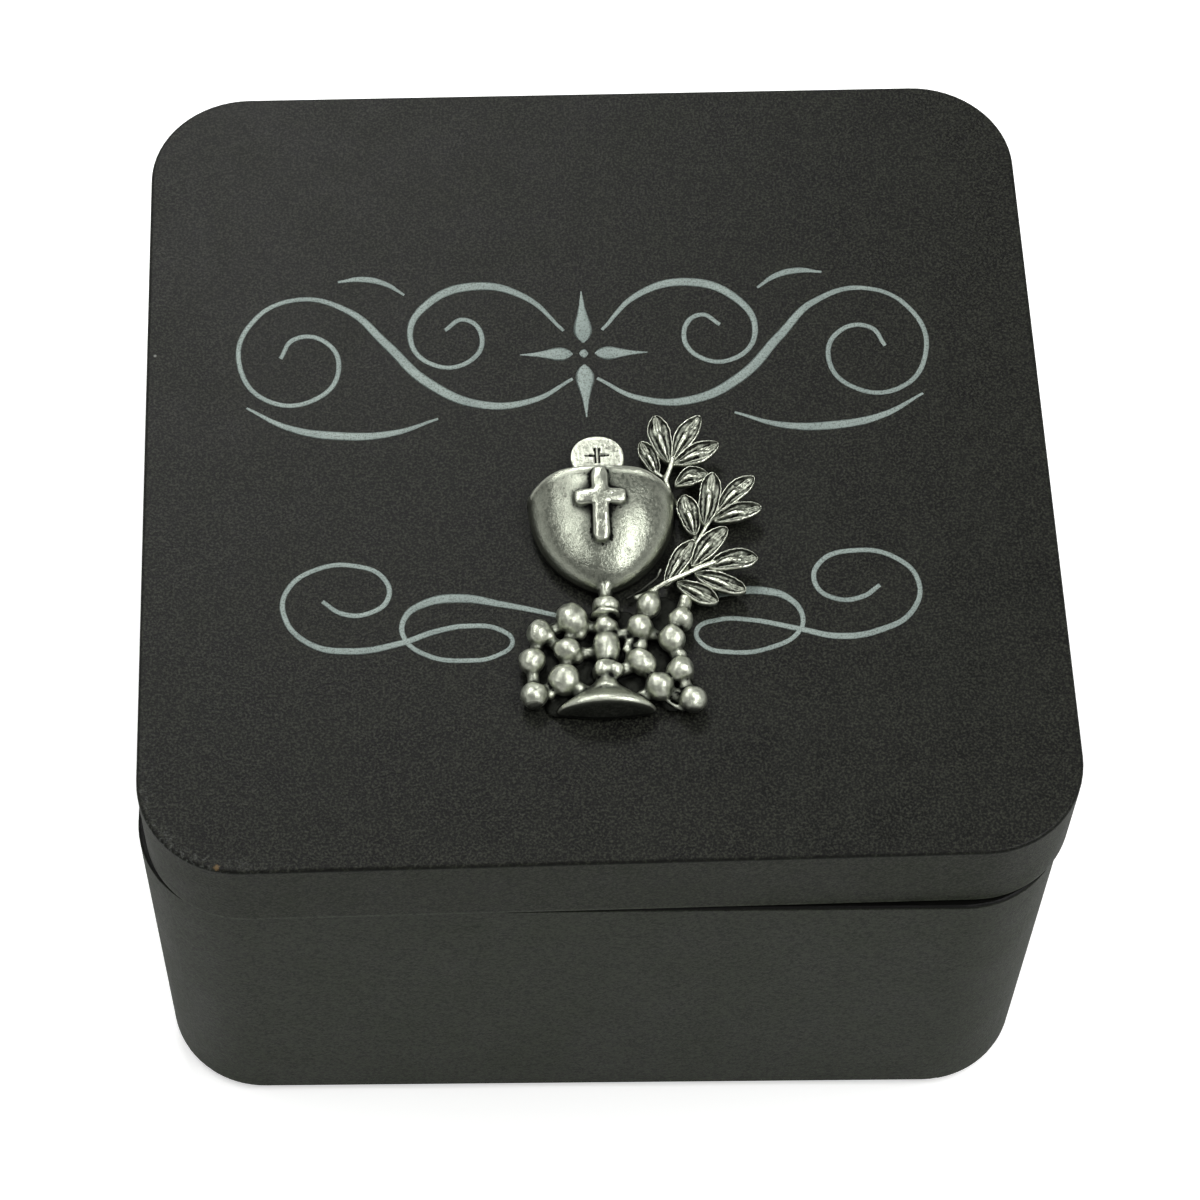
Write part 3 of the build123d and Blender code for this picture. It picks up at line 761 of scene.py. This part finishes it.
def drop_bubbles():
    """Deletes the closed specks that fusing leaves inside the metal."""
    unseen = set(casting.verts)
    while unseen:
        speck, front = set(), [unseen.pop()]
        while front:
            vert = front.pop()
            speck.add(vert)
            near = {edge.other_vert(vert) for edge in vert.link_edges} & unseen
            unseen -= near
            front += near
        if len(speck) < bubble_verts:
            bmesh.ops.delete(casting, geom=list(speck), context="VERTS")


def fuse_casting():
    """Fuses the forms into one casting, as the metal does, and softens it a little."""
    mesh = bpy.data.meshes.new("pattern")
    casting.to_mesh(mesh)
    casting.clear()
    pattern = bpy.data.objects.new("pattern", mesh)
    bpy.context.scene.collection.objects.link(pattern)
    remesh = pattern.modifiers.new("remesh", "REMESH")
    remesh.mode = "VOXEL"
    remesh.voxel_size = voxel
    bpy.context.view_layer.update()
    fused = bpy.data.meshes.new_from_object(pattern.evaluated_get(bpy.context.evaluated_depsgraph_get()))
    bpy.data.objects.remove(pattern)
    casting.from_mesh(fused)
    bpy.data.meshes.remove(fused)
    drop_bubbles()
    for _ in range(softening):
        bmesh.ops.smooth_vert(
            casting, verts=casting.verts, factor=0.5, use_axis_x=True, use_axis_y=True, use_axis_z=True
        )
    for vert in casting.verts:
        if vert.co.z > 0.2 and vert.co.y < even_from:
            from_foot = math.hypot(vert.co.x / even_foot_x, vert.co.y / even_foot_y)
            clear_of_foot = min(max(3 * from_foot - 2.6, 0), 1)
            push = uneven * noise.noise(vert.co * uneven_scale) + rough * noise.noise(vert.co * rough_scale)
            vert.co += vert.normal * clear_of_foot * push


fuse_casting()

# Leaves are fine and crisp, so they are laid on after that. Each has a thin raised edge, a sunk blade with
# faint veins and a rib like a long drop.
leaf_thickness, leaf_dish, leaf_rib, leaf_vein = 0.7, 0.28, 0.38, 0.04
leaf_edge, leaf_edge_width, leaf_rib_width, leaf_stalk_width = 0.16, 0.15, 0.12, 0.12
leaf_arch, leaf_uneven, leaf_uneven_scale = 0.35, 0.06, 1.7


def lay_leaf(base, tip, width, lift, rise, bend):
    """One leaf from base to tip. Lift is its height at the base, and rise the tip's extra height."""
    direction = Vector(tip) - Vector(base)
    length = direction.length
    bm = bmesh.new()
    bmesh.ops.create_grid(bm, x_segments=54, y_segments=25, size=1)
    for vert in bm.verts:
        along, across = (vert.co.x + 1) / 2, vert.co.y
        belly = max(4 * along * (1 - along), 0) ** 0.7 * (0.84 + 0.3 * along)
        waver = 1 + 0.05 * math.sin(9 * along + 5 * base[0])
        reach = width / 2 * belly * waver + 0.05
        edge = math.exp(-((1 - abs(across)) * reach / leaf_edge_width) ** 2)
        blade = min(1, 7 * along * (1 - along))
        drop = math.sin(math.pi * min(max((along - 0.1) / 0.62, 0), 1))
        rib = max(1 - (across * reach / (leaf_rib_width * width * drop**0.8 + 0.05)) ** 2, 0) ** 0.5
        stalk = math.exp(-((across * reach / leaf_stalk_width) ** 2)) * (1 - along)
        vein = leaf_vein * math.cos(15 * abs(across) - 6 * along) * (1 - edge)
        relief = leaf_edge * edge + blade * (max(leaf_rib * rib * drop, 0.25 * stalk) + vein)
        relief -= leaf_dish * blade * (1 - edge)
        arch = lift + rise * along + leaf_arch * math.sin(math.pi * along)
        wave = noise.noise_vector(Vector((base[0] + 9 * along, base[1] + across, 0)) * leaf_uneven_scale)
        side = across * reach + bend * math.sin(math.pi * along) + leaf_uneven * wave.y
        vert.co = (along * length, side, arch + relief + leaf_uneven * wave.z)

    def back(place):
        along = place.x / length
        return lift + rise * along + leaf_arch * math.sin(math.pi * along) - leaf_thickness

    close_back(bm, back)
    heading = Matrix.Rotation(math.atan2(direction.y, direction.x), 4, "Z")
    bmesh.ops.transform(bm, verts=bm.verts, matrix=Matrix.Translation((*base, 0)) @ heading)
    lay(bm)


leaves = [
    ((7.8, 31.1), (6.5, 37.0), 2.4, 1.5, 0.5, 0.2), ((8.2, 31.5), (11.5, 36.7), 2.1, 1.6, 0.6, 0.15),
    ((8.2, 30.9), (13.4, 33.0), 2.2, 1.5, 0.7, -0.1), ((6.5, 29.8), (4.8, 34.1), 1.8, 1.0, 0.2, 0.0),
    ((8.3, 28.3), (12.0, 29.3), 2.0, 1.2, 0.7, 0.35), ((11.3, 22.7), (12.5, 29.1), 2.3, 1.8, 0.6, -0.1),
    ((10.2, 21.8), (9.2, 26.8), 2.3, 1.1, 0.4, 0.0), ((12.8, 24.6), (17.1, 28.6), 2.0, 1.5, 0.6, 0.2),
    ((12.2, 23.6), (17.7, 24.8), 2.0, 1.2, 0.7, 0.1), ((9.6, 17.6), (13.7, 22.1), 2.2, 1.6, 0.6, 0.15),
    ((6.6, 15.4), (10.0, 20.8), 1.9, 1.3, 0.5, 0.1), ((11.4, 17.4), (16.9, 18.2), 2.3, 1.8, 0.3, 0.25),
    ((9.9, 16.8), (15.4, 14.4), 2.0, 1.4, 0.2, -0.1), ((7.9, 15.8), (12.3, 13.3), 2.0, 1.2, 0.0, -0.1),
]
for leaf in leaves:
    lay_leaf(*leaf)
lay_host()

# The host's face and the cross stand proud, and have been handled bright.
burnish = casting.verts.layers.float.new("burnished")
for vert in casting.verts:
    x, y, z = vert.co
    on_host = math.hypot(x - host_x, y - host_y) < host_radius + 0.1 and y > bowl_rim_y
    in_upright = abs(x - cross_x) < cross_width / 2 + 0.1 and cross_bottom < y < cross_top
    in_arms = abs(x - cross_x) < cross_arm_reach + 0.1 and abs(y - cross_arm_y) < cross_width / 2 + 0.1
    on_cross = (in_upright or in_arms) and z > bowl_height(x, y) + cross_relief / 2
    vert[burnish] = 0.7 if on_host else 0.2 if on_cross else 0.0


def mark_hollows(mesh, name, passes):
    """Stores how sunk each point is below its smoothed surroundings, in millimetres, for the patina."""
    count = len(mesh.vertices)
    places = np.empty(count * 3)
    normals = np.empty(count * 3)
    mesh.vertices.foreach_get("co", places)
    mesh.vertices.foreach_get("normal", normals)
    places, normals = places.reshape(-1, 3) / MM, normals.reshape(-1, 3)
    ends = np.empty(len(mesh.edges) * 2, dtype=np.int64)
    mesh.edges.foreach_get("vertices", ends)
    first, second = ends[0::2], ends[1::2]
    degree = np.bincount(ends, minlength=count)
    smooth = places.copy()
    for _ in range(passes):
        for axis in range(3):
            around = np.bincount(first, smooth[second, axis], count)
            around += np.bincount(second, smooth[first, axis], count)
            smooth[:, axis] = 0.5 * smooth[:, axis] + 0.5 * around / degree
    sunk = np.einsum("ij,ij->i", smooth - places, normals)
    mesh.attributes.new(name, "FLOAT", "POINT").data.foreach_set("value", sunk)


polished, unpolished = 0.29, 0.4
# The sandy skin is drawn a little coarse, so that it shows
sand_size = 0.4 * MM
cloud_size = 1.6 * MM
low_dark_height, low_dark_fade, foot_end_dark_reach = 0.5 * MM, 0.8 * MM, 0.9 * MM


def antique_pewter():
    """Cast pewter, blackened and rubbed: burnished where it stands out, dark and dull where it is sunk."""
    pewter = new_material("antiqued cast pewter")
    place = add(pewter, "TexCoord").outputs["Object"]
    fine = add(pewter, "Attribute", attribute_name="sunk_fine").outputs["Fac"]
    broad = add(pewter, "Attribute", attribute_name="sunk_broad").outputs["Fac"]
    sand = add(pewter, "TexNoise", {0: place, 2: 1 / sand_size, 3: 3.0, 4: 0.7})
    cloud = add(pewter, "TexNoise", {0: place, 2: 1 / cloud_size, 3: 4.0, 4: 0.65})
    sand_shift = add(pewter, "MapRange", {0: sand, 1: 0.3, 2: 0.7, 3: -0.035, 4: 0.035})
    cloud_shift = add(pewter, "MapRange", {0: cloud, 1: 0.3, 2: 0.7, 3: -0.03, 4: 0.03})
    shift = add(pewter, "Math", {0: sand_shift, 1: cloud_shift}, operation="ADD")
    fine = add(pewter, "Math", {0: fine, 1: shift}, operation="ADD")
    broad = add(pewter, "Math", {0: broad, 1: shift}, operation="ADD")
    fine_stain = add(pewter, "MapRange", {0: fine, 1: -0.015, 2: 0.08})
    broad_stain = add(pewter, "MapRange", {0: broad, 1: -0.01, 2: 0.24, 4: 0.92})

    # The flat back's upright edges and other low parts, and the forward face of the foot's end, are darkened,
    # partly as unrubbed patina and partly as painted shade
    axes = add(pewter, "SeparateXYZ", {0: place})
    low = emblem_back * MM + low_dark_height
    low_patina_and_shade = add(pewter, "MapRange", {0: axes.outputs[2], 1: low, 2: low + low_dark_fade, 3: 0.97, 4: 0.0})
    facing = add(pewter, "SeparateXYZ", {0: add(pewter, "NewGeometry").outputs["Normal"]})
    forward = add(pewter, "MapRange", {0: facing.outputs[1], 1: -0.6, 2: -0.85, 4: 0.88})
    foot_end = emblem_y * MM + foot_end_dark_reach
    at_foot = add(pewter, "Math", {0: axes.outputs[1], 1: foot_end}, operation="LESS_THAN")
    foot_end_patina_and_shade = add(pewter, "Math", {0: forward, 1: at_foot}, operation="MULTIPLY")
    # The dark mask joins the patina of the hollows with the painted shade of the low parts and the foot's end
    patina_and_shade = add(pewter, "Math", {0: fine_stain, 1: broad_stain}, operation="MAXIMUM")
    patina_and_shade = add(pewter, "Math", {0: patina_and_shade, 1: low_patina_and_shade}, operation="MAXIMUM")
    patina_and_shade = add(pewter, "Math", {0: patina_and_shade, 1: foot_end_patina_and_shade}, operation="MAXIMUM")

    rubbed = add(pewter, "MapRange", {0: fine, 1: -0.02, 2: -0.1})
    tone = add(pewter, "Mix", {0: 0.35, 2: sand, 3: cloud})
    tone = add(pewter, "MapRange", {0: tone, 1: 0.4, 2: 0.6})
    colour = add(pewter, "Mix", {0: tone, 6: linear("#676c61"), 7: linear("#babeae")}, data_type="RGBA")
    colour = add(pewter, "Mix", {0: rubbed, 6: colour, 7: linear("#c8ccbc")}, data_type="RGBA")
    handled = add(pewter, "Attribute", attribute_name="burnished").outputs["Fac"]
    colour = add(pewter, "Mix", {0: handled, 6: colour, 7: linear("#abaea0")}, data_type="RGBA")
    colour = add(pewter, "Mix", {0: patina_and_shade, 6: colour, 7: linear("#070806")}, data_type="RGBA")
    bowl_start = (emblem_y + stem_top) * MM
    polish = add(pewter, "MapRange", {
        0: axes.outputs[1], 1: bowl_start, 2: bowl_start + MM, 3: unpolished, 4: polished,
    })
    roughness = add(pewter, "MapRange", {0: patina_and_shade, 3: polish, 4: 0.6})
    metallic = add(pewter, "MapRange", {0: patina_and_shade, 1: 0.3, 2: 1.0, 3: 1.0, 4: 0.92})
    bump = add(pewter, "Bump", {"Strength": 0.9, "Distance": 0.05 * MM, "Height": sand})
    shader = add(pewter, "BsdfPrincipled", {
        "Base Color": colour, "Metallic": metallic, "Roughness": roughness, "Normal": bump,
    })
    add(pewter, "OutputMaterial", {0: shader})
    return pewter


bmesh.ops.transform(casting, verts=casting.verts, matrix=on_lid(emblem_x, emblem_y, emblem_back))
emblem = make_piece("cast_emblem", casting, antique_pewter(), "lid")
mark_hollows(emblem.data, "sunk_fine", 24)
mark_hollows(emblem.data, "sunk_broad", 300)
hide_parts("chalice_emblem")


# Adhesive
# Two spots of clear adhesive hold the emblem. Cured adhesive is glossy, faintly yellow and cloudy.

def clear_adhesive():
    """Cured glue, a little cloudy."""
    glue = new_material("cured clear adhesive")
    place = add(glue, "TexCoord").outputs["Object"]
    cloud = add(glue, "TexNoise", {0: place, 2: 1 / (0.8 * MM), 3: 3.0})
    colour = add(glue, "Mix", {0: cloud, 6: linear("#4e4b41"), 7: linear("#69665a")}, data_type="RGBA")
    bump = add(glue, "Bump", {"Strength": 0.4, "Distance": 0.05 * MM, "Height": cloud})
    shader = add(glue, "BsdfPrincipled", {"Base Color": colour, "Roughness": 0.25, "Normal": bump})
    add(glue, "OutputMaterial", {0: shader})
    return glue


dress(["emblem_adhesive"], clear_adhesive())


# Studio
# A white card floor, a long strip softbox above the box on each side, which draw the two bright bands
# down the chalice, and a square one behind it. The room is dim and even, and white at the horizon.

def background_rays(owner):
    """1 for the rays that show the background: those of the camera, of gloss and of glass."""
    ray = add(owner, "LightPath").outputs
    seen = add(owner, "Math", {0: ray["Is Camera Ray"], 1: ray["Is Glossy Ray"]}, operation="ADD")
    seen = add(owner, "Math", {0: seen, 1: ray["Is Transmission Ray"]}, operation="ADD")
    return add(owner, "Math", {0: seen, 1: 1.0}, operation="MINIMUM")


floor_lift = 0.45


def white_card():
    """Smooth white card with a faint unevenness, lifted to white where it is seen."""
    card = new_material("white studio card")
    place = add(card, "TexCoord").outputs["Object"]
    cloud = add(card, "TexNoise", {0: place, 2: 1 / (120 * MM), 3: 2.0})
    colour = add(card, "Mix", {0: cloud, 6: linear("#f5f6f4"), 7: linear("#fafaf9")}, data_type="RGBA")
    lift = add(card, "Math", {0: background_rays(card), 1: floor_lift}, operation="MULTIPLY")
    shader = add(card, "BsdfPrincipled", {
        "Base Color": colour, "Roughness": 0.8, "Specular IOR Level": 0.2, "Emission Color": (1, 1, 1, 1),
        "Emission Strength": lift,
    })
    add(card, "OutputMaterial", {0: shader})
    return card


floor_bm = bmesh.new()
bmesh.ops.create_grid(floor_bm, x_segments=1, y_segments=1, size=3.0)
bmesh.ops.translate(floor_bm, verts=floor_bm.verts, vec=(0, 0, -0.1 * MM))
floor_mesh = bpy.data.meshes.new("studio_floor")
floor_bm.to_mesh(floor_mesh)
floor_bm.free()
floor_mesh.materials.append(white_card())
floor = bpy.data.objects.new("studio_floor", floor_mesh)
bpy.context.scene.collection.objects.link(floor)


def softbox(name, place, aim, length, width, power):
    """A softbox that faces a point. Its length runs front to back."""
    lamp = bpy.data.lights.new(name, "AREA")
    lamp.shape = "RECTANGLE"
    lamp.size = length
    lamp.size_y = width
    lamp.energy = power
    holder = bpy.data.objects.new(name, lamp)
    holder.location = place
    holder.rotation_euler = (Vector(aim) - Vector(place)).to_track_quat("-Z", "Y").to_euler()
    bpy.context.scene.collection.objects.link(holder)


softbox("left_strip", (-0.45, 0.1, 0.87), (0, 0.1, 0), 0.9, 0.16, 3.0)
softbox("right_strip", (0.46, -0.16, 0.85), (0, -0.16, 0), 0.8, 0.28, 6.0)
softbox("back_softbox", (-0.16, 0.72, 0.9), (0, 0, 0), 0.3, 0.3, 4.4)

room_light = 0.22
world = bpy.data.worlds.new("studio room")
world.use_nodes = True
world.node_tree.nodes.clear()
direction = add(world, "SeparateXYZ", {0: add(world, "TexCoord").outputs["Generated"]})
horizon = add(world, "MapRange", {0: direction.outputs[2], 1: 0.2, 2: 0.35, 3: 1.0, 4: 0.0})
white = add(world, "Math", {0: horizon, 1: background_rays(world)}, operation="MULTIPLY")
strength = add(world, "MapRange", {0: white, 3: room_light, 4: 1.0})
background = add(world, "Background", {"Color": (1, 1, 1, 1), "Strength": strength})
add(world, "OutputWorld", {0: background})
bpy.context.scene.world = world

camera_data = bpy.data.cameras.new("camera")
camera_data.sensor_width = 36
camera_data.lens = 108.45
camera = bpy.data.objects.new("camera", camera_data)
camera_place = Vector((-10.975, -215.114, 407.788)) * MM
camera_yaw, camera_elevation, camera_roll = (math.radians(a) for a in (3.188, 60.34, 2.446))
camera.matrix_world = (
    Matrix.Translation(camera_place)
    @ Matrix.Rotation(-camera_yaw, 4, "Z")
    @ Matrix.Rotation(math.pi / 2 - camera_elevation, 4, "X")
    @ Matrix.Rotation(camera_roll, 4, "Z")
)
bpy.context.scene.collection.objects.link(camera)
bpy.context.scene.camera = camera
bpy.context.scene.view_settings.view_transform = "Standard"
